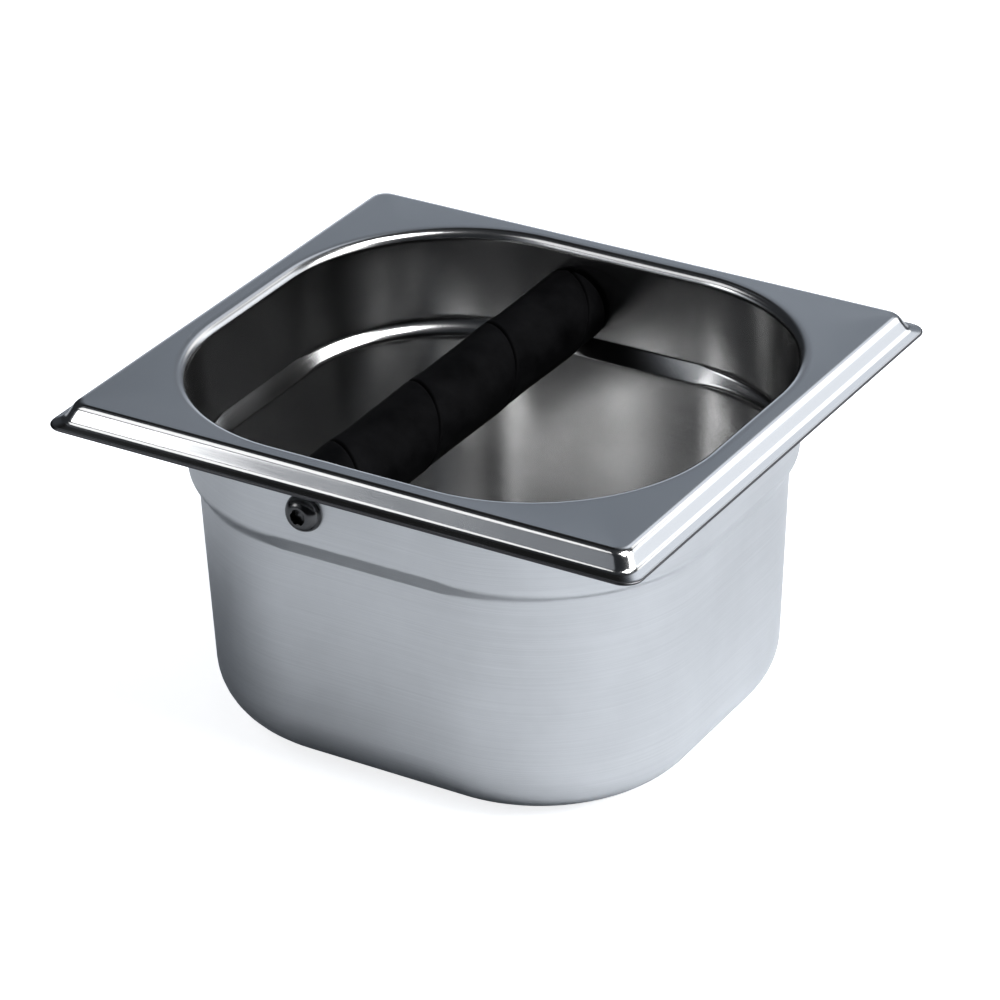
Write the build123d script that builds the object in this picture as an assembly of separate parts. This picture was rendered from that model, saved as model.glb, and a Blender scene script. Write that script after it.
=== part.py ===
from build123d import *

import os
from math import cos, radians, sin, sqrt

# Espresso knock box. A deep-drawn one-sixth gastronorm pan catches the spent coffee, and a steel
# rod in a rubber hose crosses its mouth to take the blows. Two socket screws hold the rod, one
# through each long wall.
#
# Millimetres. X runs along the pan's long side, Y along its short side and along the knock bar,
# and +Z is up. The origin is under the middle of the pan's floor.

# Driving dimensions of the pan
PAN_LENGTH = 176.0
PAN_WIDTH = 162.0
PAN_HEIGHT = 100.0
SHEET = 0.8

# Rim, from the outside in: a thin lip, a steep bevel and a narrow flat land round the mouth
LIP_REACH = 2.9
LIP_FALL = 1.0
BEVEL_REACH = 2.5
BEVEL_DROP = 4.5
LIP_CORNER = 5.0
BEVEL_CORNER = 4.4
LAND_CORNER = 4.0

# Drawn body. Every level is a rounded rectangle about the same four corner centres, so one
# section, measured outwards from a corner centre, makes the corners and the straight walls.
CORNER_CENTRE_X = 24.5
CORNER_CENTRE_Y = 18.35
COLLAR_INSIDE = 50.3
MOUTH_BEND = 2.3
COLLAR_BOTTOM = 73.7
SHOULDER_BEND = 3.4
SHOULDER_TURN = 52.9
WALL_DRAFT = 2.35
FLOOR_BEND = 15.6
FLOOR_OVERLAP = 4.0

# Knock bar, off centre so that a portafilter has room on one side
BAR_X = -15.0
BAR_Z = 82.6
ROD_RADIUS = 6.0
ROD_CHAMFER = 0.6
SLEEVE_RADIUS = 10.9
SLEEVE_BORE_RADIUS = 6.05
SLEEVE_END_GAP = 1.2
SLEEVE_EDGE = 0.5

# M6 fasteners
THREAD_RADIUS = 3.0
TAPPED_DEPTH = 16.0
TAP_DRILL_RADIUS = 2.5
TAP_DRILL_DEPTH = 19.0
CLEARANCE_HOLE_RADIUS = 3.25
WASHER_RADIUS = 6.0
WASHER_BORE_RADIUS = 3.2
WASHER_THICKNESS = 1.6
SCREW_LENGTH = 16.0
SCREW_TIP_CHAMFER = 0.7
HEAD_RADIUS = 5.25
HEAD_HEIGHT = 3.3
HEAD_TOP_RADIUS = 2.9
HEAD_RIM = 0.35
HEAD_BULGE = 0.47
HEX_ACROSS_FLATS = 4.0
HEX_DEPTH = 2.1

# Worked-out places
INNER_WALL_Y = CORNER_CENTRE_Y + COLLAR_INSIDE
OUTER_WALL_Y = INNER_WALL_Y + SHEET
ROD_HALF_LENGTH = INNER_WALL_Y - WASHER_THICKNESS
MOUTH_EDGE = COLLAR_INSIDE + MOUTH_BEND + SHEET / 2


def stretch_end(point, heading, length, turn):
    """End of a stretch of the given length that turns evenly; heading and turn are in degrees."""
    half_turn = radians(turn) / 2
    chord = length if turn == 0 else length * sin(half_turn) / half_turn
    direction = radians(heading) + half_turn
    return point + Vector(chord * cos(direction), 0, chord * sin(direction))


def beside(point, heading, distance):
    """Point at a distance to the left of the heading, in the X-Z plane."""
    angle = radians(heading)
    return point + Vector(-sin(angle), 0, cos(angle)) * distance


def run(length):
    return length, 0


def bend(radius, turn):
    return radius * radians(abs(turn)), turn


def sheet_section(start, heading, stretches):
    """Face of a sheet whose midline follows straight runs and tangent bends."""
    sides = {SHEET / 2: [], -SHEET / 2: []}
    point = Vector(start[0], 0, start[1])
    first = [beside(point, heading, side) for side in sides]
    for length, turn in stretches:
        middle = stretch_end(point, heading, length / 2, turn / 2)
        end = stretch_end(point, heading, length, turn)
        for side, edges in sides.items():
            a = beside(point, heading, side)
            c = beside(end, heading + turn, side)
            if turn == 0:
                edges.append(Edge.make_line(a, c))
            else:
                b = beside(middle, heading + turn / 2, side)
                edges.append(Edge.make_three_point_arc(a, b, c))
        point = end
        heading = heading + turn
    last = [beside(point, heading, side) for side in sides]
    caps = [Edge.make_line(*first), Edge.make_line(*last)]
    left, right = sides.values()
    return Face(Wire(left + right + caps))


def body_section():
    """Section of the drawn body from the land, round the mouth and the shoulder, to the floor."""
    land_z = PAN_HEIGHT - SHEET / 2
    collar = land_z - MOUTH_BEND - COLLAR_BOTTOM
    second_turn = SHOULDER_TURN - WALL_DRAFT
    shoulder_fall = SHOULDER_BEND * (sin(radians(SHOULDER_TURN)) * 2 - sin(radians(WALL_DRAFT)))
    floor_fall = FLOOR_BEND * (1 - sin(radians(WALL_DRAFT)))
    wall_fall = COLLAR_BOTTOM - shoulder_fall - floor_fall - SHEET / 2
    wall = wall_fall / cos(radians(WALL_DRAFT))
    return sheet_section(
        (MOUTH_EDGE, land_z),
        180,
        [
            bend(MOUTH_BEND, 90),
            run(collar),
            bend(SHOULDER_BEND, -SHOULDER_TURN),
            bend(SHOULDER_BEND, second_turn),
            run(wall),
            bend(FLOOR_BEND, WALL_DRAFT - 90),
            run(FLOOR_OVERLAP),
        ],
    )


def rounded_plate(corner_offset, low, high):
    """Plate between two heights, rounded about the body's corner centres."""
    outline = RectangleRounded(
        2 * (CORNER_CENTRE_X + corner_offset), 2 * (CORNER_CENTRE_Y + corner_offset), corner_offset
    )
    return Pos(0, 0, low) * extrude(outline, high - low)


def pan_body():
    """Drawn body: its section turned round four corners and run along four walls."""
    section = body_section()
    corner = revolve(section, Axis.Z, revolution_arc=90)
    corner_signs = ((1, 1), (-1, 1), (-1, -1), (1, -1))
    walls = (
        (CORNER_CENTRE_X, 2 * CORNER_CENTRE_Y),
        (CORNER_CENTRE_Y, 2 * CORNER_CENTRE_X),
    ) * 2
    floor_edge = section.bounding_box().min.X + FLOOR_OVERLAP / 2
    body = rounded_plate(floor_edge, 0, SHEET)
    for quarter, (sign_x, sign_y) in enumerate(corner_signs):
        body += Pos(sign_x * CORNER_CENTRE_X, sign_y * CORNER_CENTRE_Y, 0) * Rot(0, 0, 90 * quarter) * corner
    for quarter, (offset, length) in enumerate(walls):
        body += Rot(0, 0, 90 * quarter) * Pos(offset, -length / 2, 0) * extrude(section, length, (0, 1, 0))
    return body


def inset_level(inset, fall, corner):
    """Rounded outline of the rim, inset from the lip's edge and below the land."""
    outline = RectangleRounded(PAN_LENGTH - 2 * inset, PAN_WIDTH - 2 * inset, corner)
    return Pos(0, 0, PAN_HEIGHT - fall) * outline


def level_stack(levels):
    """Solid through a stack of rounded outlines, straight-sided between one and the next."""
    faces = [inset_level(*level) for level in levels]
    stack = loft(faces[:2], ruled=True)
    for lower, upper in zip(faces[1:], faces[2:]):
        stack += loft([lower, upper], ruled=True)
    return stack


def pan_rim():
    """Land, bevel and lip: the space under the rim's top surface, less the space under its sheet."""
    rim_reach = LIP_REACH + BEVEL_REACH
    rim_drop = BEVEL_DROP + LIP_FALL
    lip_slope = sqrt(LIP_REACH**2 + LIP_FALL**2)
    bevel_slope = sqrt(BEVEL_REACH**2 + BEVEL_DROP**2)
    lip_end_inset = SHEET * LIP_FALL / lip_slope
    lip_end_fall = rim_drop + SHEET * LIP_REACH / lip_slope
    bevel_shift = SHEET * (bevel_slope - BEVEL_REACH) / BEVEL_DROP
    lip_turn_cos = (LIP_REACH * BEVEL_REACH + LIP_FALL * BEVEL_DROP) / (lip_slope * bevel_slope)
    mitre = SHEET * sqrt((1 - lip_turn_cos) / (1 + lip_turn_cos))
    bevel_foot_inset = LIP_REACH + (SHEET * LIP_FALL + mitre * LIP_REACH) / lip_slope
    bevel_foot_fall = BEVEL_DROP + (SHEET * LIP_REACH - mitre * LIP_FALL) / lip_slope
    top = level_stack(
        [
            (lip_end_inset, lip_end_fall, LIP_CORNER - lip_end_inset),
            (0, rim_drop, LIP_CORNER),
            (LIP_REACH, BEVEL_DROP, BEVEL_CORNER),
            (rim_reach, 0, LAND_CORNER),
        ]
    )
    underside = level_stack(
        [
            (lip_end_inset, lip_end_fall, LIP_CORNER - lip_end_inset),
            (bevel_foot_inset, bevel_foot_fall, BEVEL_CORNER - SHEET / 2),
            (rim_reach + bevel_shift, SHEET, LAND_CORNER - SHEET / 2),
        ]
    )
    mouth = rounded_plate(MOUTH_EDGE, PAN_HEIGHT - SHEET, PAN_HEIGHT)
    return top - underside - mouth


def along_bar(radius, start, end):
    """Cylinder on the knock bar's axis between two places along Y."""
    disc = Plane.XZ * Circle(radius)
    return Pos(BAR_X, start, BAR_Z) * extrude(disc, end - start, (0, 1, 0))


def bar_end_edges(shape, radius):
    """Circular edges of a radius on a bar piece."""
    return [edge for edge in shape.edges().filter_by(GeomType.CIRCLE) if abs(edge.radius - radius) < 1e-6]


def make_pan():
    holes = along_bar(CLEARANCE_HOLE_RADIUS, -PAN_WIDTH / 2, PAN_WIDTH / 2)
    return pan_body() + pan_rim() - holes


def make_rod():
    """Solid rod, drilled and tapped in both ends. A thread is shown at its major radius."""
    rod = along_bar(ROD_RADIUS, -ROD_HALF_LENGTH, ROD_HALF_LENGTH)
    rod = chamfer(bar_end_edges(rod, ROD_RADIUS), ROD_CHAMFER)
    for sign in (-1, 1):
        mouth = sign * ROD_HALF_LENGTH
        tapped = mouth - sign * TAPPED_DEPTH
        drilled = mouth - sign * TAP_DRILL_DEPTH
        rod -= along_bar(THREAD_RADIUS, min(mouth, tapped), max(mouth, tapped))
        rod -= along_bar(TAP_DRILL_RADIUS, min(mouth, drilled), max(mouth, drilled))
    return rod


def make_sleeve():
    """Rubber hose, a running fit on the rod, ending clear of both walls and of the shoulder."""
    half_length = INNER_WALL_Y - SLEEVE_END_GAP
    hose = along_bar(SLEEVE_RADIUS, -half_length, half_length)
    hose = fillet(bar_end_edges(hose, SLEEVE_RADIUS), SLEEVE_EDGE)
    return hose - along_bar(SLEEVE_BORE_RADIUS, -half_length, half_length)


def make_washer():
    """Front washer, flat between the wall and the rod's end."""
    washer = along_bar(WASHER_RADIUS, -INNER_WALL_Y, -ROD_HALF_LENGTH)
    return washer - along_bar(WASHER_BORE_RADIUS, -INNER_WALL_Y, -ROD_HALF_LENGTH)


def make_screw():
    """Front screw: a domed head with a hexagon socket, on a shank at the thread's major radius."""
    dome_top = Vector(HEAD_TOP_RADIUS, HEAD_HEIGHT)
    dome_foot = Vector(HEAD_RADIUS, HEAD_RIM)
    outward = (dome_foot - dome_top).normalized().rotate(Axis.Z, 90)
    dome_middle = (dome_top + dome_foot) / 2 + outward * HEAD_BULGE
    top = Line((0, HEAD_HEIGHT), dome_top)
    dome = ThreePointArc(dome_top, dome_middle, dome_foot)
    shank = Polyline(
        dome_foot,
        (HEAD_RADIUS, 0),
        (THREAD_RADIUS, 0),
        (THREAD_RADIUS, SCREW_TIP_CHAMFER - SCREW_LENGTH),
        (THREAD_RADIUS - SCREW_TIP_CHAMFER, -SCREW_LENGTH),
        (0, -SCREW_LENGTH),
        (0, HEAD_HEIGHT),
    )
    screw = revolve(make_face([top, dome, shank]), Axis.Y)
    hexagon = RegularPolygon(HEX_ACROSS_FLATS / 2, 6, major_radius=False)
    socket = Pos(0, HEAD_HEIGHT, 0) * Rot(90, 0, 0) * extrude(hexagon, HEX_DEPTH)
    screw -= socket
    return Pos(BAR_X, -OUTER_WALL_Y, BAR_Z) * Rot(0, 0, 180) * screw


def turned_to_rear(piece):
    """The same piece, turned half a turn about the vertical through the bar's middle."""
    return Pos(BAR_X, 0, 0) * Rot(0, 0, 180) * Pos(-BAR_X, 0, 0) * piece


def main():
    front_washer = make_washer()
    front_screw = make_screw()
    nodes = {
        "pan": make_pan(),
        "bar_rod": make_rod(),
        "bar_sleeve": make_sleeve(),
        "front_washer": front_washer,
        "rear_washer": turned_to_rear(front_washer),
        "front_screw": front_screw,
        "rear_screw": turned_to_rear(front_screw),
    }
    os.makedirs("parts", exist_ok=True)
    for name, shape in nodes.items():
        export_step(shape, f"parts/{name}.step")


main()
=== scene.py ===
import math

import bmesh
import bpy
import numpy as np
from mathutils import Matrix, Vector

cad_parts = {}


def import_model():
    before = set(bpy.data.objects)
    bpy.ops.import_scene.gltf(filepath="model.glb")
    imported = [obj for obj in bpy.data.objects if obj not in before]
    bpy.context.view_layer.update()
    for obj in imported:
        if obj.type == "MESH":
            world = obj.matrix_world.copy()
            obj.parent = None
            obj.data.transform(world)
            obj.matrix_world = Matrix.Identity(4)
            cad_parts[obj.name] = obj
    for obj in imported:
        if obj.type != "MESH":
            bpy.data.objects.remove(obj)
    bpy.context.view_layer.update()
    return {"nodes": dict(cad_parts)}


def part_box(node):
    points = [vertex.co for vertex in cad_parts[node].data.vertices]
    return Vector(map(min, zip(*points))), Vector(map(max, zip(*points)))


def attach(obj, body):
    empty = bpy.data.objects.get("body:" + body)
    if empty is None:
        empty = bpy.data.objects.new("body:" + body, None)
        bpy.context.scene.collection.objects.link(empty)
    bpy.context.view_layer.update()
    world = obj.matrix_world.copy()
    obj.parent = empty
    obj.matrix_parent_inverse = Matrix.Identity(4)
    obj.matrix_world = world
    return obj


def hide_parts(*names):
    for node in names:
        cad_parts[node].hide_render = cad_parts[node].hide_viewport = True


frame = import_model()

# Espresso knock box: a satin gastronorm pan, a rubber hose on a rod across its mouth, and a socket
# screw through each long wall. Shapes are in millimetres until they become a mesh in metres.
MM = 0.001
SHARP = 35
SAME = 0.01

# Places from the frame
_, pan_high = (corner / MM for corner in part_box("pan"))
hose_low, hose_high = (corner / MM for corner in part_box("bar_sleeve"))
head_low, head_high = (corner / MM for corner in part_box("front_screw"))
washer_low, _ = (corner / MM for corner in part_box("front_washer"))
PAN_HALF_X = pan_high.x
PAN_HALF_Y = pan_high.y
PAN_HEIGHT = pan_high.z
BAR_X = (hose_low.x + hose_high.x) / 2
BAR_Z = (hose_low.z + hose_high.z) / 2
HOSE_RADIUS = (hose_high.x - hose_low.x) / 2
HOSE_END = hose_high.y
HEAD_RADIUS = (head_high.x - head_low.x) / 2

# Sheet, and the body: the centres of its corners' arcs, and its radius inside the collar
SHEET = 0.8
CORNER_X = 24.5
CORNER_Y = 18.35
COLLAR = -washer_low.y - CORNER_Y
MOUTH_BEND = 2.3
WALL_DRAFT = math.radians(2.35)
FLOOR_BEND = 15.6
FLOOR_SHARES = (0.85, 0.65, 0.45, 0.25, 0.1)
HOLE_RADIUS = 3.25
CUTTER_ENDS = (-4, 5)

# Shoulder: how far it falls and steps in, and its slope from upright, along the sides and at the corners
SHOULDER_TOP = 73.7
SHOULDER_FALL = 5.9
SHOULDER_STEP = 2.7
SHOULDER_SLOPE = math.radians(27.5)
CORNER_SHOULDER_RISE = 0.6
CORNER_SHOULDER_FALL = 6.6
CORNER_SHOULDER_SLOPE = math.radians(45)
SLOPE_SPREAD = 0.4

# Rim, from its edge inwards: the lip, the bevel with a bend at its foot and one at its edge, and the land
LIP_REACH = 2.9
LIP_FALL = 1.0
LIP_CORNER = 5.0
CORNER_TIGHTENING = 0.185
FOOT_BEND = 2.4
BEVEL_REACH = 2.5
BEVEL_DROP = 4.5
EDGE_BEND = 2.2
LAND_BY_BEVEL = 1.6
LAND_BY_MOUTH = 1.2

# Polish of each zone of the pan, which its material reads for roughness and for its tones (painted shade
# inside, a painted highlight on the bevel), and how far two of them reach onto the land
OUTSIDE = 0.0
CUT_EDGE = 0.25
LAND = 0.5
INSIDE = 0.65
BEVEL = 0.95
PAST_BEVEL = 1.2
PAST_MOUTH = 0.5
BRUSHING_LENGTH = 100

# Hose: the tape it was cured in leaves a helical groove with a low step beside it
HOSE_BORE = 6.05
BORE_EDGE = 0.3
HOSE_PITCH = 39.2
HOSE_SEAM_Y = 17.9
HOSE_EDGE = 0.5
STEP_DEPTH = 0.33
STEP_LENGTH = 8.0
GROOVE_DEPTH = 0.75
GROOVE_HALF_WIDTH = 0.4
WAVE_ROOM = 0.06
SEAM_ROWS = np.array([0.08, 0.16, 0.24, 0.34, 0.5, 0.8, 1.3])
ROW_GAP = 0.9
HOSE_COLUMNS = 144

# Screws
HEAD_HEIGHT = 3.3
HEAD_TOP = 2.9
TOP_EDGE = 0.12
HEAD_RIM = 0.35
HEAD_BULGE = 0.47
HEAD_FOOT = 0.1
HEX_FLATS = 4.0
HEX_DEPTH = 2.1
HEX_MOUTH = 0.22
DRILL_DEPTH = 0.5
SHANK_RADIUS = 2.98
SHANK_END = -0.9
THREAD_TOP = -1.1
THREAD_PITCH = 1.0
THREAD_DEPTH = 0.5
CREST = 0.08
FLANK = 0.34
SCREW_LENGTH = 16.0
TIP_LENGTH = 0.5
TIP_TAPER = 0.8
TIP_RADIUS = 2.1
SCREW_COLUMNS = 96


# ---------------------------------------------------------------- lines and rings

def unit(vector):
    """One direction, or a column of them, at length 1."""
    return vector / np.linalg.norm(vector, axis=0)


def left_of(heading):
    return np.stack([-heading[1], heading[0]])


def turned(vector, angle):
    c, s = np.cos(angle), np.sin(angle)
    return np.stack([vector[0] * c - vector[1] * s, vector[0] * s + vector[1] * c])


def offset_line(points, distance):
    """A line to the left of another, with mitred corners."""
    sides = [left_of(unit(b - a)) for a, b in zip(points, points[1:])]
    pairs = zip([sides[0]] + sides, sides + [sides[-1]])
    return [p + (m + n) / (1 + (m * n).sum(0)) * distance for p, (m, n) in zip(points, pairs)]


def rounded_line(corners, bends):
    """Points and left-hand normals along a line with its inner corners bent: (radius, steps) each."""
    points = [corners[0]]
    normals = [left_of(unit(corners[1] - corners[0]))]
    for before, corner, after, (radius, steps) in zip(corners, corners[1:], corners[2:], bends):
        arriving = unit(corner - before)
        leaving = unit(after - corner)
        turn = np.arctan2((left_of(arriving) * leaving).sum(0), (arriving * leaving).sum(0))
        side = np.sign(turn)
        centre = corner - arriving * radius * np.tan(abs(turn) / 2) + left_of(arriving) * radius * side
        for share in np.linspace(0, 1, steps + 1):
            normal = turned(left_of(arriving), turn * share)
            point = centre - normal * radius * side
            if np.linalg.norm(point - points[-1], axis=0).max() > 1e-6:
                points.append(point)
                normals.append(normal)
    points.append(corners[-1])
    normals.append(left_of(unit(corners[-1] - corners[-2])))
    return points, normals


def with_runs_divided(points, normals, near=0.5, longest=6.0):
    """Adds points along each straight run: one near to either end, and more between them."""
    out_points, out_normals = [points[0]], [normals[0]]
    for a, b, m, n in zip(points, points[1:], normals, normals[1:]):
        length = np.linalg.norm(b - a, axis=0).max()
        straight = abs(m - n).max() < 1e-6
        if straight and length > 4 * near:
            count = max(1, math.ceil(length / longest))
            for share in np.linspace(near / length, 1 - near / length, count + 1):
                out_points.append(a + (b - a) * share)
                out_normals.append(m)
        out_points.append(b)
        out_normals.append(n)
    return out_points, out_normals


def ring_faces(rings, size, start=0):
    """Quads between successive rings of one size."""
    faces = []
    for ring in range(rings - 1):
        here = start + ring * size
        for i in range(size):
            j = (i + 1) % size
            faces.append((here + i, here + j, here + size + j, here + size + i))
    return faces


def fan(centre, ring):
    """Triangles from a centre point to a ring."""
    return [(centre, ring[i], ring[(i + 1) % len(ring)]) for i in range(len(ring))]


def new_piece(name, points, faces, matrix=Matrix.Identity(4), sharp=SHARP):
    """A smooth piece from points in millimetres, creased where its faces meet at more than sharp degrees."""
    mesh = bpy.data.meshes.new(name)
    mesh.from_pydata([tuple(p) for p in np.asarray(points, float) * MM], [], faces)
    tidy = bmesh.new()
    tidy.from_mesh(mesh)
    bmesh.ops.recalc_face_normals(tidy, faces=tidy.faces)
    tidy.to_mesh(mesh)
    tidy.free()
    mesh.transform(matrix)
    mesh.shade_smooth()
    mesh.set_sharp_from_angle(angle=math.radians(sharp))
    piece = bpy.data.objects.new(name, mesh)
    bpy.context.scene.collection.objects.link(piece)
    return piece


# ---------------------------------------------------------------- pan

LONG_STEPS = 16
TIGHT_STEPS = 12
SIDE_STEPS = 8
CUT_EDGE_RINGS = 6
HOLE_STEPS = 64


def rim_quarter(out, z):
    """A quarter of one of the rim's outlines, out from the lip's edge (negative is inwards)."""
    radius = LIP_CORNER + CORNER_TIGHTENING * out
    x, y = PAN_HALF_X + out, PAN_HALF_Y + out
    along = np.linspace(0, 1, LONG_STEPS + 1)[:-1]
    angles = np.linspace(0, math.pi / 2, TIGHT_STEPS + 1)
    end = [(x, CORNER_Y + (y - radius - CORNER_Y) * t) for t in along]
    tight = [(x - radius + radius * math.cos(a), y - radius + radius * math.sin(a)) for a in angles]
    side = [(CORNER_X + (x - radius - CORNER_X) * t, y) for t in along[::-1]]
    flat = np.array(end + tight + side)
    return np.column_stack([flat, np.full(len(flat), z)])


lip = rim_quarter(0, 0)
CORNER_ANGLES = np.arctan2(lip[:, 1] - CORNER_Y, lip[:, 0] - CORNER_X)
SOFTNESS = np.sin(2 * CORNER_ANGLES) ** 2


def body_quarter(offset, z):
    """A quarter of one of the body's outlines, offset from its corner centre."""
    x = CORNER_X + offset * np.cos(CORNER_ANGLES)
    y = CORNER_Y + offset * np.sin(CORNER_ANGLES)
    return np.column_stack([x, y, z])


def whole_ring(quarter):
    """Four mirrored quarters and the straight sides between them."""
    mirrored = [
        quarter,
        (quarter * (-1, 1, 1))[::-1],
        quarter * (-1, -1, 1),
        (quarter * (1, -1, 1))[::-1],
    ]
    ring = []
    for i, part in enumerate(mirrored):
        following = mirrored[(i + 1) % 4]
        ring.extend(part)
        for step in range(1, SIDE_STEPS):
            ring.append(part[-1] + (following[0] - part[-1]) * step / SIDE_STEPS)
    return np.array(ring)


def rim_line():
    """Midline of the lip, the bevel and the start of the land: out from the lip's edge, and height."""
    low = PAN_HEIGHT - BEVEL_DROP - LIP_FALL
    surface = [(0, low), (-LIP_REACH, low + LIP_FALL), (-LIP_REACH - BEVEL_REACH, PAN_HEIGHT)]
    surface.append((-LIP_REACH - BEVEL_REACH - LAND_BY_BEVEL, PAN_HEIGHT))
    points = offset_line([np.array(p, float) for p in surface], SHEET / 2)
    slope = points[1] - points[0]
    points[0] = points[0] + slope * (-SHEET / 2 - points[0][0]) / slope[0]
    return rounded_line(points, [(FOOT_BEND, 7), (EDGE_BEND, 9)])


def body_line():
    """Midline of the mouth, collar, shoulder, wall and floor's bend, a column for each corner angle."""
    land = PAN_HEIGHT - SHEET / 2
    collar = COLLAR + SHEET / 2
    top = SHOULDER_TOP + CORNER_SHOULDER_RISE * SOFTNESS
    fall = SHOULDER_FALL + (CORNER_SHOULDER_FALL - SHOULDER_FALL) * SOFTNESS
    lean = math.tan(WALL_DRAFT)
    wall_top = collar - SHOULDER_STEP
    foot = wall_top - (SHOULDER_TOP - SHOULDER_FALL - (top - fall)) * lean
    # The shoulder is a cone between two equal and opposite bends: its step, fall and slope set their radius.
    step = collar - foot
    turn = SHOULDER_SLOPE + (CORNER_SHOULDER_SLOPE - SHOULDER_SLOPE) * SOFTNESS ** SLOPE_SPREAD
    short = 2 - (1 + math.cos(WALL_DRAFT)) * np.cos(turn) - math.sin(WALL_DRAFT) * np.sin(turn)
    bend = (fall * np.sin(turn) - step * np.cos(turn)) / short
    upper = bend * np.tan(turn / 2)
    lower = bend * np.tan((turn - WALL_DRAFT) / 2)
    ones = np.ones_like(top)
    floor = foot - (top - fall - SHEET / 2) * lean
    corners = [
        np.stack([(COLLAR + MOUTH_BEND + SHEET / 2 + LAND_BY_MOUTH) * ones, land * ones]),
        np.stack([collar * ones, land * ones]),
        np.stack([collar * ones, top - upper]),
        np.stack([foot + lower * math.sin(WALL_DRAFT), top - fall + lower * math.cos(WALL_DRAFT)]),
        np.stack([floor, SHEET / 2 * ones]),
        np.stack([floor - FLOOR_BEND, SHEET / 2 * ones]),
    ]
    return rounded_line(corners, [(MOUTH_BEND, 10), (bend, 8), (bend, 8), (FLOOR_BEND, 12)])


def pan_rings(side):
    """Rings of the sheet's underside (1) or top (-1), from the lip to the middle of the floor."""
    points, normals = with_runs_divided(*rim_line())
    rings = [rim_quarter(*(p + n * side * SHEET / 2)) for p, n in zip(points, normals)]
    for point, normal in zip(*with_runs_divided(*body_line())):
        rings.append(body_quarter(*(point + normal * side * SHEET / 2)))
    rim = rings[-1]
    for share in FLOOR_SHARES:
        rings.append(rim * (share, share, 1))
    return rings


def lip_edge():
    """Rings round the sheet's cut edge, from its underside to its top."""
    points, normals = rim_line()
    centre, normal = points[0], normals[0]
    angles = np.linspace(0, math.pi, CUT_EDGE_RINGS + 2)[1:-1]
    return [rim_quarter(*(centre + turned(normal, a) * SHEET / 2)) for a in angles]


def screw_hole(sign):
    """Cutter for the clearance hole in the front (-1) or rear (1) wall."""
    angles = np.linspace(0, 2 * math.pi, HOLE_STEPS + 1)[:-1]
    round_hole = [(BAR_X + HOLE_RADIUS * math.cos(a), BAR_Z + HOLE_RADIUS * math.sin(a)) for a in angles]
    wall = COLLAR + CORNER_Y
    points = [(x, sign * (wall + past), z) for past in CUTTER_ENDS for x, z in round_hole]
    faces = ring_faces(2, HOLE_STEPS)
    faces += [tuple(range(HOLE_STEPS)), tuple(range(HOLE_STEPS, 2 * HOLE_STEPS))]
    return new_piece(f"hole_{sign}", points, faces)


def polish_of(points, outside_count, cut_count):
    """The polish of each point: the outside's come first, then those of the sheet's cut edge, and last
    the middles of the underside and of the floor."""
    x, y, z = abs(points[:, 0]), abs(points[:, 1]), points[:, 2]
    bevel = np.maximum(x - PAN_HALF_X, y - PAN_HALF_Y) > -LIP_REACH - BEVEL_REACH - PAST_BEVEL
    past_corner = np.hypot(np.maximum(x - CORNER_X, 0), np.maximum(y - CORNER_Y, 0))
    outside_mouth = past_corner > COLLAR + MOUTH_BEND + SHEET / 2 + PAST_MOUTH
    land = (z > PAN_HEIGHT - SAME) & outside_mouth
    polish = np.where(bevel, BEVEL, np.where(land, LAND, INSIDE))
    polish[:outside_count] = OUTSIDE
    polish[outside_count:outside_count + cut_count] = CUT_EDGE
    polish[-2] = OUTSIDE
    return polish


def lay_brushing(data, size, across):
    """Texture coordinates for the brush lines: round the pan, and from ring to ring."""
    layer = data.uv_layers.new(name="brushing")
    for face in data.polygons:
        columns = [v % size for v in face.vertices]
        wraps = max(columns) - min(columns) > size / 2
        for loop, vertex, column in zip(face.loop_indices, face.vertices, columns):
            along = column + size if wraps and column < size / 2 else column
            ring = 0 if vertex == size * len(across) else min(vertex // size, len(across) - 1)
            layer.data[loop].uv = (along / size, across[ring])


def cut_out(piece, cutter):
    """Cuts a shape out of a piece for good, and removes the cutter."""
    cut = piece.modifiers.new("hole", "BOOLEAN")
    cut.object = cutter
    cut.solver = "EXACT"
    bpy.context.view_layer.update()
    shaped = piece.evaluated_get(bpy.context.evaluated_depsgraph_get())
    mesh = bpy.data.meshes.new_from_object(shaped)
    piece.modifiers.clear()
    piece.data = mesh
    bpy.data.objects.remove(cutter)


def make_pan():
    """The pressed sheet as one closed skin with two clearance holes."""
    under = pan_rings(1)[::-1]
    rings = [whole_ring(q) for q in under + lip_edge() + pan_rings(-1)]
    size = len(rings[0])
    points = np.vstack(rings + [[[0, 0, 0]], [[0, 0, SHEET]]])
    faces = ring_faces(len(rings), size)
    first, last = len(rings) * size, len(rings) * size + 1
    faces += fan(first, list(range(size)))
    faces += fan(last, list(range((len(rings) - 1) * size, len(rings) * size)))
    pan = new_piece("knock_box_pan", points, faces)
    places = np.array([v.co for v in pan.data.vertices]) / MM
    polish = pan.data.attributes.new("polish", "FLOAT", "POINT")
    polish.data.foreach_set("value", polish_of(places, len(under) * size, (CUT_EDGE_RINGS + 1) * size))
    steps = [np.linalg.norm(b[0] - a[0]) for a, b in zip(rings, rings[1:])]
    lay_brushing(pan.data, size, np.cumsum([0] + steps) / BRUSHING_LENGTH)
    for sign in (-1, 1):
        cut_out(pan, screw_hole(sign))
    pan.data.name = "knock_box_pan"
    pan.data.set_sharp_from_angle(angle=math.radians(SHARP))
    return pan


# ---------------------------------------------------------------- turned pieces

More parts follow.
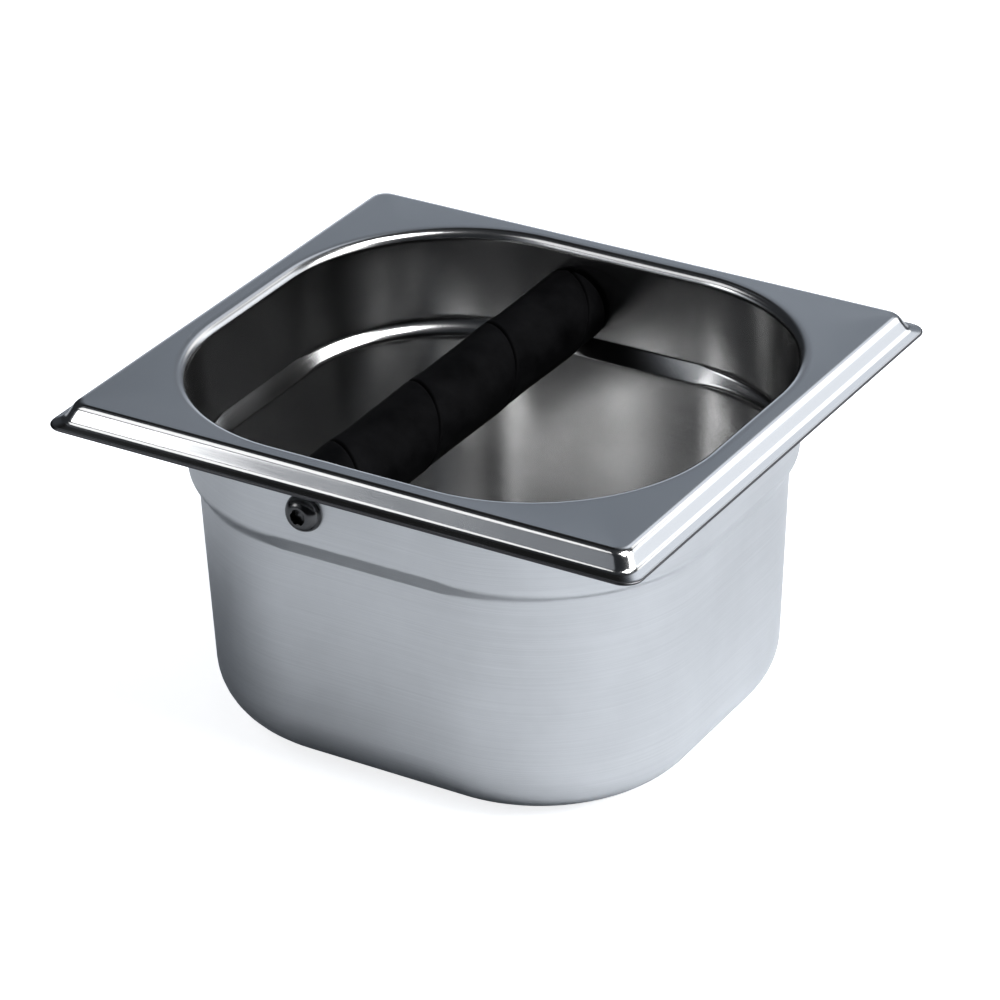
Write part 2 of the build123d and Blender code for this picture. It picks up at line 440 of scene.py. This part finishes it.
class Turned:
    """Rings about an axis, as (x, y, height) points, each joined to the one before."""

    LEAST_GAP = 0.02

    def __init__(self, columns):
        self.columns = columns
        self.angles = np.arange(columns) * 2 * math.pi / columns
        self.points = []
        self.faces = []
        self.last = None

    def point(self, radius, angle, height):
        """Adds a point and gives its number."""
        self.points.append((radius * math.cos(angle), radius * math.sin(angle), height))
        return len(self.points) - 1

    def ring(self, radius, height):
        """Adds a ring; radius is one number or one for each column."""
        radii = np.broadcast_to(radius, self.columns)
        made = [self.point(r, a, height) for r, a in zip(radii, self.angles)]
        if self.last is not None:
            self.join(self.last, made)
        self.last = made
        return made

    def join(self, lower, upper):
        for i in range(self.columns):
            j = (i + 1) % self.columns
            self.faces.append((lower[i], lower[j], upper[j], upper[i]))

    def start_at(self, height, radius):
        """Starts a new skin with a small disc, its first ring."""
        self.last = None
        middle = self.point(0, 0, height)
        self.faces += fan(middle, self.ring(radius, height))

    def helix(self, radius_at, pitch, offsets, start, low, high, upper=None):
        """Adds a skin from the last ring, at low, to the upper one, at high, with rows that climb
        one pitch a turn. Offsets are the rows' places within a pitch that begins at start."""
        lower = self.last
        upper = upper or [self.point(radius_at(a, high), a, high) for a in self.angles]
        turns = range(math.floor((low - start) / pitch) - 3, math.ceil((high - start) / pitch) + 2)
        rows = [start + k * pitch + o for k in turns for o in offsets]
        rows = [r for r in rows if low - 2 * pitch < r < high + pitch]
        per_turn = len(offsets)
        known = {}

        def vertex(column, row):
            """The point at a row and column; the column after the last is the first, one turn up."""
            if column == self.columns:
                column, row = 0, row + per_turn
            if row >= len(rows):
                return upper[column]
            height = rows[row] + pitch * column / self.columns
            if height <= low + self.LEAST_GAP:
                return lower[column]
            if height >= high - self.LEAST_GAP:
                return upper[column]
            if (column, row) not in known:
                angle = self.angles[column]
                known[column, row] = self.point(radius_at(angle, height), angle, height)
            return known[column, row]

        for row in range(len(rows) - 1):
            for column in range(self.columns):
                around = [vertex(column, row), vertex(column + 1, row)]
                around += [vertex(column + 1, row + 1), vertex(column, row + 1)]
                face = [v for i, v in enumerate(around) if v != around[i - 1]]
                if len(set(face)) > 2:
                    self.faces.append(tuple(face))
        self.last = upper


def seam_distance(angle, height, pitch, start):
    """Distance along the axis from the last seam, from 0 to one pitch."""
    return (height - start - pitch * angle / (2 * math.pi)) % pitch


def hose_radius(angle, height):
    """The hose sinks soon after the seam, rises again before the next, and is never quite round."""
    past = seam_distance(angle, height, HOSE_PITCH, HOSE_SEAM_Y)
    nearest = min(past, HOSE_PITCH - past)
    if past < STEP_LENGTH:
        sunk = math.sin(past / STEP_LENGTH * math.pi / 2) ** 1.5
    else:
        sunk = math.cos((past - STEP_LENGTH) / (HOSE_PITCH - STEP_LENGTH) * math.pi / 2) ** 1.3
    groove = GROOVE_DEPTH * math.exp(-((nearest / GROOVE_HALF_WIDTH) ** 2))
    waves = 0.03 * math.sin(3 * angle + height / 5) + 0.02 * math.sin(5 * angle - height / 3)
    return HOSE_RADIUS - WAVE_ROOM - STEP_DEPTH * sunk - groove + waves


def make_hose():
    """Hose with its bore, its rows close together at the seam."""
    hose = Turned(HOSE_COLUMNS)
    between = np.arange(2.0, HOSE_PITCH - 1.9, ROW_GAP)
    offsets = sorted([0, *SEAM_ROWS, *between, *(HOSE_PITCH - SEAM_ROWS)])
    end = HOSE_END - HOSE_EDGE

    def edge(sign):
        """Rings from the hose's outside, round its edge and over its end, into its bore."""
        radii = np.array([hose_radius(a, sign * end) for a in hose.angles])
        rings = []
        for t in np.linspace(0, math.pi / 2, 6):
            rings.append((radii - HOSE_EDGE * (1 - math.cos(t)), sign * (end + HOSE_EDGE * math.sin(t))))
        rings.append(((radii + HOSE_BORE) / 2, sign * HOSE_END))
        rings.append((HOSE_BORE + BORE_EDGE, sign * HOSE_END))
        rings.append((HOSE_BORE, sign * (HOSE_END - BORE_EDGE)))
        return rings

    first = None
    for radius, height in edge(-1)[::-1]:
        made = hose.ring(radius, height)
        first = first or made
    hose.helix(hose_radius, HOSE_PITCH, offsets, HOSE_SEAM_Y, -end, end)
    for radius, height in edge(1)[1:]:
        hose.ring(radius, height)
    for height in np.linspace(HOSE_END - BORE_EDGE, BORE_EDGE - HOSE_END, 16)[1:-1]:
        hose.ring(HOSE_BORE, height)
    hose.join(hose.last, first)
    # The axis becomes +Y, and angles run from +X towards +Z.
    place = Matrix(((1, 0, 0, BAR_X * MM), (0, 0, 1, 0), (0, 1, 0, BAR_Z * MM), (0, 0, 0, 1)))
    return new_piece("rubber_hose", hose.points, hose.faces, place)


def thread_radius(angle, height):
    """Crest, flanks and root of the thread, fading out over the screw's tip."""
    past = seam_distance(angle, height, THREAD_PITCH, 0) / THREAD_PITCH
    flank = min(max((abs(past - 0.5) - CREST) / FLANK, 0), 1)
    taper = min(max((SCREW_LENGTH + height) / TIP_TAPER, 0), 1)
    return SHANK_RADIUS - THREAD_DEPTH * max(flank, 1 - taper)


def make_screw(name, sign):
    """Button-head screw through the front (-1) or rear (1) wall: its socket and head, its underside
    and shank, and then its thread."""
    screw = Turned(SCREW_COLUMNS)
    apothem = HEX_FLATS / 2
    hexagon = apothem / np.cos((screw.angles % (math.pi / 3)) - math.pi / 6)
    floor = HEAD_HEIGHT - HEX_DEPTH
    socket = [
        (apothem * 0.96, floor),
        (hexagon, floor + 0.02),
        (hexagon, HEAD_HEIGHT - HEX_MOUTH),
        (np.maximum(hexagon, apothem * 1.1), HEAD_HEIGHT - 0.05),
        (hexagon * 0.3 + 0.7 * apothem * 1.2, HEAD_HEIGHT),
    ]
    screw.start_at(floor - DRILL_DEPTH, 0.3)
    for radius, height in socket:
        screw.ring(radius, height)
    screw.ring(HEAD_TOP - TOP_EDGE, HEAD_HEIGHT)
    top, foot = Vector((HEAD_TOP, HEAD_HEIGHT)), Vector((HEAD_RADIUS, HEAD_RIM))
    chord = foot - top
    outward = Vector((-chord.y, chord.x)).normalized()
    for share in np.linspace(0, 1, 15):
        bulge = HEAD_BULGE * 4 * share * (1 - share)
        spot = top + chord * share + outward * bulge
        screw.ring(spot.x, spot.y - (0.03 if share == 0 else 0))
    underside = [(HEAD_RADIUS, HEAD_FOOT), (HEAD_RADIUS - HEAD_FOOT, 0), (SHANK_RADIUS + 0.22, 0)]
    shank = [(SHANK_RADIUS, -0.2), (SHANK_RADIUS, SHANK_END)]
    for radius, height in underside + shank:
        screw.ring(radius, height)
    thread_top = screw.ring([thread_radius(a, THREAD_TOP) for a in screw.angles], THREAD_TOP)
    # The thread runs up from the tip to meet the shank.
    tip = TIP_LENGTH - SCREW_LENGTH
    screw.start_at(-SCREW_LENGTH, TIP_RADIUS)
    screw.ring([thread_radius(a, tip) for a in screw.angles], tip)
    rows = np.arange(8) / 8 * THREAD_PITCH
    screw.helix(thread_radius, THREAD_PITCH, rows, 0, tip, THREAD_TOP, thread_top)
    # Height becomes outwards along Y, and the rear screw is the front one turned about the vertical.
    wall = COLLAR + CORNER_Y + SHEET
    place = Matrix((
        (-sign, 0, 0, BAR_X * MM),
        (0, 0, sign, sign * wall * MM),
        (0, 1, 0, BAR_Z * MM),
        (0, 0, 0, 1),
    ))
    return new_piece(name, screw.points, screw.faces, place, sharp=30)


# ---------------------------------------------------------------- materials

FINE = 0.00002
SATIN_TONE = (0.60, 0.605, 0.61)
# The cut edge's near-black tone is painted shade along the underside of the rim's lip.
CUT_EDGE_SHADE_TONE = (0.12, 0.12, 0.125)
# Inside, the same steel takes a darker tone as painted shade; on the bevel it takes a lighter one as a
# painted highlight.
INSIDE_SHADE_TONE = (0.55, 0.55, 0.55)
BEVEL_HIGHLIGHT_TONE = (0.66, 0.66, 0.66)


class Material:
    """A node material with a Principled shader."""

    def __init__(self, name):
        self.made = bpy.data.materials.new(name)
        self.made.use_nodes = True
        self.nodes = self.made.node_tree.nodes
        self.links = self.made.node_tree.links
        self.shader = self.nodes["Principled BSDF"]

    def set(self, **values):
        """Constants on the shader's own sockets."""
        for name, value in values.items():
            socket = name.replace("_", " ").title().replace("Ior", "IOR")
            self.shader.inputs[socket].default_value = value

    def put(self, source, target):
        """Links a socket to one of the shader's, by name."""
        self.links.new(source, self.shader.inputs[target])

    def node(self, kind, inputs=(), **settings):
        """Adds a node; an input that is a socket is linked to it."""
        made = self.nodes.new(kind)
        for name, value in settings.items():
            setattr(made, name, value)
        for key, value in dict(inputs).items():
            if isinstance(value, bpy.types.NodeSocket):
                self.links.new(value, made.inputs[key])
            else:
                made.inputs[key].default_value = value
        return made

    def noise(self, vector, scale, detail=4.0, roughness=0.55):
        inputs = {"Vector": vector, "Scale": scale, "Detail": detail, "Roughness": roughness}
        return self.node("ShaderNodeTexNoise", inputs).outputs["Fac"]

    def mapped(self, value, low, high, start=0.3, end=0.7):
        """A value from start to end, brought to low to high."""
        inputs = {"Value": value, "From Min": start, "From Max": end, "To Min": low, "To Max": high}
        return self.node("ShaderNodeMapRange", inputs).outputs["Result"]

    def blend(self, factor, a, b):
        """A mix of two colours."""
        made = self.node("ShaderNodeMix", {"Factor": factor}, data_type="RGBA")
        made.inputs["A"].default_value = (*a, 1)
        made.inputs["B"].default_value = (*b, 1)
        return made.outputs["Result"]

    def scaled(self, vector, scale):
        made = self.node("ShaderNodeMapping", {"Vector": vector, "Scale": scale})
        return made.outputs["Vector"]

    def bump(self, height, strength, distance, normal=None):
        inputs = {"Height": height, "Strength": strength, "Distance": distance}
        if normal is not None:
            inputs["Normal"] = normal
        return self.node("ShaderNodeBump", inputs).outputs["Normal"]

    def object_place(self):
        return self.node("ShaderNodeTexCoord").outputs["Object"]


def pan_steel():
    """Satin stainless: brush lines round the pan, smoother on the land, the bevel and inside; painted shade
    darkens the inside and the cut edge, and a painted highlight lightens the bevel.
    """
    steel = Material("pan_steel")
    place = steel.object_place()
    mesh_map = steel.node("ShaderNodeUVMap", uv_map="brushing").outputs["UV"]
    parts = steel.node("ShaderNodeSeparateXYZ", {"Vector": place})
    layout = steel.node("ShaderNodeSeparateXYZ", {"Vector": mesh_map})
    brush_place = steel.node("ShaderNodeCombineXYZ", {
        "X": parts.outputs["X"], "Y": parts.outputs["Y"], "Z": layout.outputs["Y"],
    }).outputs["Vector"]
    polish = steel.node("ShaderNodeAttribute", attribute_name="polish").outputs["Fac"]
    fine = steel.noise(steel.scaled(brush_place, (22, 22, 420)), 1, 4, 0.65)
    cloud = steel.noise(place, 28, 4, 0.6)
    grain = steel.noise(place, 900, 2, 0.5)
    on_land = steel.node("ShaderNodeMath", {0: polish, 1: LAND, 2: 0.05}, operation="COMPARE").outputs[0]
    brushed = steel.node("ShaderNodeMix", {"Factor": on_land, "A": fine, "B": 0.5}).outputs["Result"]
    satin = steel.mapped(polish, 0.35, 0.15, 0, 1)
    uneven = steel.node("ShaderNodeMath", {0: brushed, 1: cloud}, operation="ADD").outputs[0]
    swing = steel.mapped(uneven, -0.035, 0.035, 0.7, 1.3)
    rough = steel.node("ShaderNodeMath", {0: satin, 1: swing}, operation="ADD").outputs[0]
    steel.put(rough, "Roughness")
    # Tones by zone: the darker cut edge and inside are painted shade, and the lighter bevel is a painted
    # highlight.
    tones = steel.node("ShaderNodeValToRGB", {"Fac": polish})
    stops = tones.color_ramp.elements
    stops[0].color = (*SATIN_TONE, 1)
    stops[1].color = (*BEVEL_HIGHLIGHT_TONE, 1)
    between = [(0.15, SATIN_TONE), (CUT_EDGE, CUT_EDGE_SHADE_TONE), (0.4, SATIN_TONE), (LAND, SATIN_TONE)]
    for stop, tone in between + [(INSIDE, INSIDE_SHADE_TONE)]:
        stops.new(stop).color = (*tone, 1)
    # The brush lines and the clouds between them fade out from the outside to the land.
    darkest = steel.mapped(polish, 0.93, 0.99, OUTSIDE, LAND)
    lightest = steel.mapped(polish, 1.045, 1.005, OUTSIDE, LAND)
    shade = steel.mapped(uneven, darkest, lightest, 0.75, 1.25)
    both = {0: tones.outputs["Color"], 1: shade}
    uneven_tone = steel.node("ShaderNodeVectorMath", both, operation="MULTIPLY").outputs["Vector"]
    steel.put(uneven_tone, "Base Color")
    lines = steel.bump(brushed, steel.mapped(polish, 0.16, 0.02, OUTSIDE, LAND), FINE)
    grained = steel.bump(grain, steel.mapped(polish, 0.2, 0.01, OUTSIDE, LAND), FINE, lines)
    steel.put(grained, "Normal")
    tangent = steel.node("ShaderNodeTangent", direction_type="UV_MAP", uv_map="brushing")
    steel.put(tangent.outputs["Tangent"], "Tangent")
    steel.set(metallic=1.0, anisotropic=0.3)
    return steel.made


def rubber():
    """Matt black wrap-cured rubber with a faint bloom and the tape's fine crosswise print."""
    hose = Material("sleeve_rubber")
    place = hose.object_place()
    cloud = hose.noise(place, 90, 5, 0.65)
    fine = hose.noise(place, 1500, 4, 0.6)
    print_lines = hose.noise(hose.scaled(place, (900, 250, 900)), 1, 3, 0.6)
    tint = hose.blend(hose.mapped(cloud, 0, 1), (0.0025, 0.0025, 0.003), (0.012, 0.012, 0.013))
    hose.put(tint, "Base Color")
    hose.put(hose.mapped(cloud, 0.62, 0.8), "Roughness")
    soft = hose.bump(cloud, 0.3, 0.0003)
    printed = hose.bump(print_lines, 0.25, 0.00012, soft)
    hose.put(hose.bump(fine, 0.3, 0.00008, printed), "Normal")
    hose.set(specular_ior_level=0.07)
    return hose.made


def screw_steel():
    """Polished stainless, a little uneven and finely pitted."""
    screw = Material("screw_steel")
    place = screw.object_place()
    fine = screw.noise(place, 1800, 3, 0.6)
    cloud = screw.noise(place, 300, 4, 0.6)
    screw.put(screw.mapped(cloud, 0.12, 0.22), "Roughness")
    # A dark base colour, well below bare stainless, darkens the whole screw.
    screw.put(screw.blend(cloud, (0.11, 0.11, 0.114), (0.16, 0.158, 0.155)), "Base Color")
    screw.put(screw.bump(fine, 0.08, 0.00003), "Normal")
    screw.set(metallic=1.0)
    return screw.made


def turned_steel():
    """Bright turned bar: fine rings along Y."""
    bar = Material("rod_steel")
    place = bar.object_place()
    rings = bar.noise(bar.scaled(place, (60, 4200, 60)), 1, 3, 0.6)
    cloud = bar.noise(place, 120, 4, 0.6)
    bar.put(bar.mapped(cloud, 0.2, 0.34), "Roughness")
    bar.put(bar.blend(cloud, (0.48, 0.48, 0.49), (0.58, 0.58, 0.58)), "Base Color")
    bar.put(bar.bump(rings, 0.2, 0.00003), "Normal")
    bar.set(metallic=1.0)
    return bar.made


def dress(piece, material):
    """Gives a piece one material."""
    piece.data.materials.clear()
    piece.data.materials.append(material)


# ---------------------------------------------------------------- pieces

pan = make_pan()
dress(pan, pan_steel())
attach(pan, "knock_box")
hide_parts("pan")

hose = make_hose()
dress(hose, rubber())
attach(hose, "sleeve")
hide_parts("bar_sleeve")

polished = screw_steel()
for node, sign in (("front_screw", -1), ("rear_screw", 1)):
    screw = make_screw(f"button_head_{node}", sign)
    dress(screw, polished)
    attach(screw, "knock_box")
    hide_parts(node)

bar_finish = turned_steel()
for node in ("bar_rod", "front_washer", "rear_washer"):
    for slot in frame["nodes"][node].material_slots:
        slot.material = bar_finish


# ---------------------------------------------------------------- studio

FLOOR_SIZE = 12
FLOOR_GLOW = 0.55


def studio_floor():
    """Large pale floor under the object, which glows for the camera only."""
    bpy.ops.mesh.primitive_plane_add(size=FLOOR_SIZE, location=(0, 0, 0))
    sweep = bpy.context.object
    sweep.name = "studio_floor"
    pale = Material("studio_floor")
    place = pale.object_place()
    tint = pale.blend(pale.noise(place, 3, 2, 0.5), (0.68, 0.705, 0.74), (0.70, 0.725, 0.76))
    pale.put(tint, "Base Color")
    pale.set(roughness=0.9, specular_ior_level=0.1, emission_color=(1, 1, 1, 1))
    direct = pale.node("ShaderNodeLightPath").outputs["Is Camera Ray"]
    glow = pale.node("ShaderNodeMath", {0: direct, 1: FLOOR_GLOW}, operation="MULTIPLY").outputs[0]
    pale.put(glow, "Emission Strength")
    dress(sweep, pale.made)


def soft_box(name, place, target, size, radiance):
    """A white rectangular light at a place, turned to a target."""
    light = bpy.data.lights.new(name, "AREA")
    light.shape = "RECTANGLE"
    light.size, light.size_y = size
    light.energy = radiance * math.pi * size[0] * size[1]
    made = bpy.data.objects.new(name, light)
    made.location = place
    made.rotation_mode = "QUATERNION"
    made.rotation_quaternion = (Vector(target) - Vector(place)).to_track_quat("-Z", "Y")
    bpy.context.scene.collection.objects.link(made)


def world(base, patches):
    """Studio walls as a dome: a base colour, and soft round patches on it, each a direction, the two
    angles in degrees between which it fades out, and a colour."""
    dome = bpy.data.worlds.new("studio")
    bpy.context.scene.world = dome
    dome.use_nodes = True
    nodes, links = dome.node_tree.nodes, dome.node_tree.links
    direction = nodes.new("ShaderNodeTexCoord").outputs["Generated"]
    colour = None
    for aim, inner, outer, shade in patches:
        dot = nodes.new("ShaderNodeVectorMath")
        dot.operation = "DOT_PRODUCT"
        links.new(direction, dot.inputs[0])
        dot.inputs[1].default_value = Vector(aim).normalized()
        edge = nodes.new("ShaderNodeMapRange")
        edge.interpolation_type = "SMOOTHSTEP"
        links.new(dot.outputs["Value"], edge.inputs["Value"])
        edge.inputs["From Min"].default_value = math.cos(math.radians(outer))
        edge.inputs["From Max"].default_value = math.cos(math.radians(inner))
        mix = nodes.new("ShaderNodeMix")
        mix.data_type = "RGBA"
        links.new(edge.outputs["Result"], mix.inputs["Factor"])
        if colour is None:
            mix.inputs["A"].default_value = (*base, 1)
        else:
            links.new(colour, mix.inputs["A"])
        mix.inputs["B"].default_value = (*shade, 1)
        colour = mix.outputs["Result"]
    links.new(colour, nodes["Background"].inputs["Color"])


def grey(level, blue=0.0):
    """A grey that blue makes cooler."""
    return (level * (1 - blue), level, level * (1 + 1.5 * blue))


studio_floor()
world(grey(0.05, 0.07), [
    ((-0.23, 0.85, 0.47), 6, 38, grey(0.28, 0.08)),
    ((-0.54, 0.84, 0.09), 7, 16, grey(0.75, 0.07)),
    ((-0.46, -0.80, 0.37), 12, 24, grey(0.27, 0.05)),
    ((0.65, 0.75, 0.14), 10, 18, grey(0.88, 0.04)),
    ((0.47, 0.82, 0.33), 8, 14, grey(1.4, 0.03)),
    ((0.19, 0.84, 0.50), 9, 15, grey(1.4)),
    ((-0.09, 0.73, 0.68), 9, 16, grey(0.80, 0.05)),
    ((-0.47, 0.42, 0.78), 8, 18, grey(0.02)),
    ((-0.60, 0.18, 0.78), 2, 7, grey(0.2, 0.05)),
    ((-0.75, -0.65, 0.07), 6, 24, grey(0.4, 0.05)),
    ((0.97, 0.24, 0.07), 10, 28, grey(1.4)),
])
soft_box("key", (0.90, 0.27, 0.64), (0, 0, 0.03), (0.55, 0.50), 6.7)
soft_box("high", (0.55, -0.02, 1.04), (0, 0, 0.03), (0.58, 0.58), 7.6)
soft_box("strip", (-0.575, -0.45, 0.885), (0, 0, 0.1), (0.62, 0.42), 1.05)
soft_box("front_left", (-0.65, -0.69, 0.42), (-0.09, -0.08, 0.1), (0.30, 0.30), 2.2)

RIM_CENTRE = Vector((0, 0, 0.1))
DISTANCE = 1.2
RIGHTWARDS = 0.001888
DOWNWARDS = 0.037694

camera = bpy.data.cameras.new("camera")
camera.sensor_width = 36
camera.lens = 163.886
camera.clip_end = 20
eye = bpy.data.objects.new("camera", camera)
bpy.context.scene.collection.objects.link(eye)
bpy.context.scene.camera = eye
azimuth, elevation, roll = (math.radians(a) for a in (31.431, 28.49, -1.215))
back = Vector((
    math.sin(azimuth) * math.cos(elevation),
    -math.cos(azimuth) * math.cos(elevation),
    math.sin(elevation),
))
level_right = Vector((math.cos(azimuth), math.sin(azimuth), 0))
level_up = back.cross(level_right)
right = level_right * math.cos(roll) + level_up * math.sin(roll)
up = level_up * math.cos(roll) - level_right * math.sin(roll)
eye.rotation_mode = "QUATERNION"
eye.rotation_quaternion = Matrix((right, up, back)).transposed().to_quaternion()
eye.location = RIM_CENTRE + back * DISTANCE + right * RIGHTWARDS - up * DOWNWARDS

bpy.context.scene.view_settings.view_transform = "Standard"
bpy.context.scene.view_settings.look = "High Contrast"
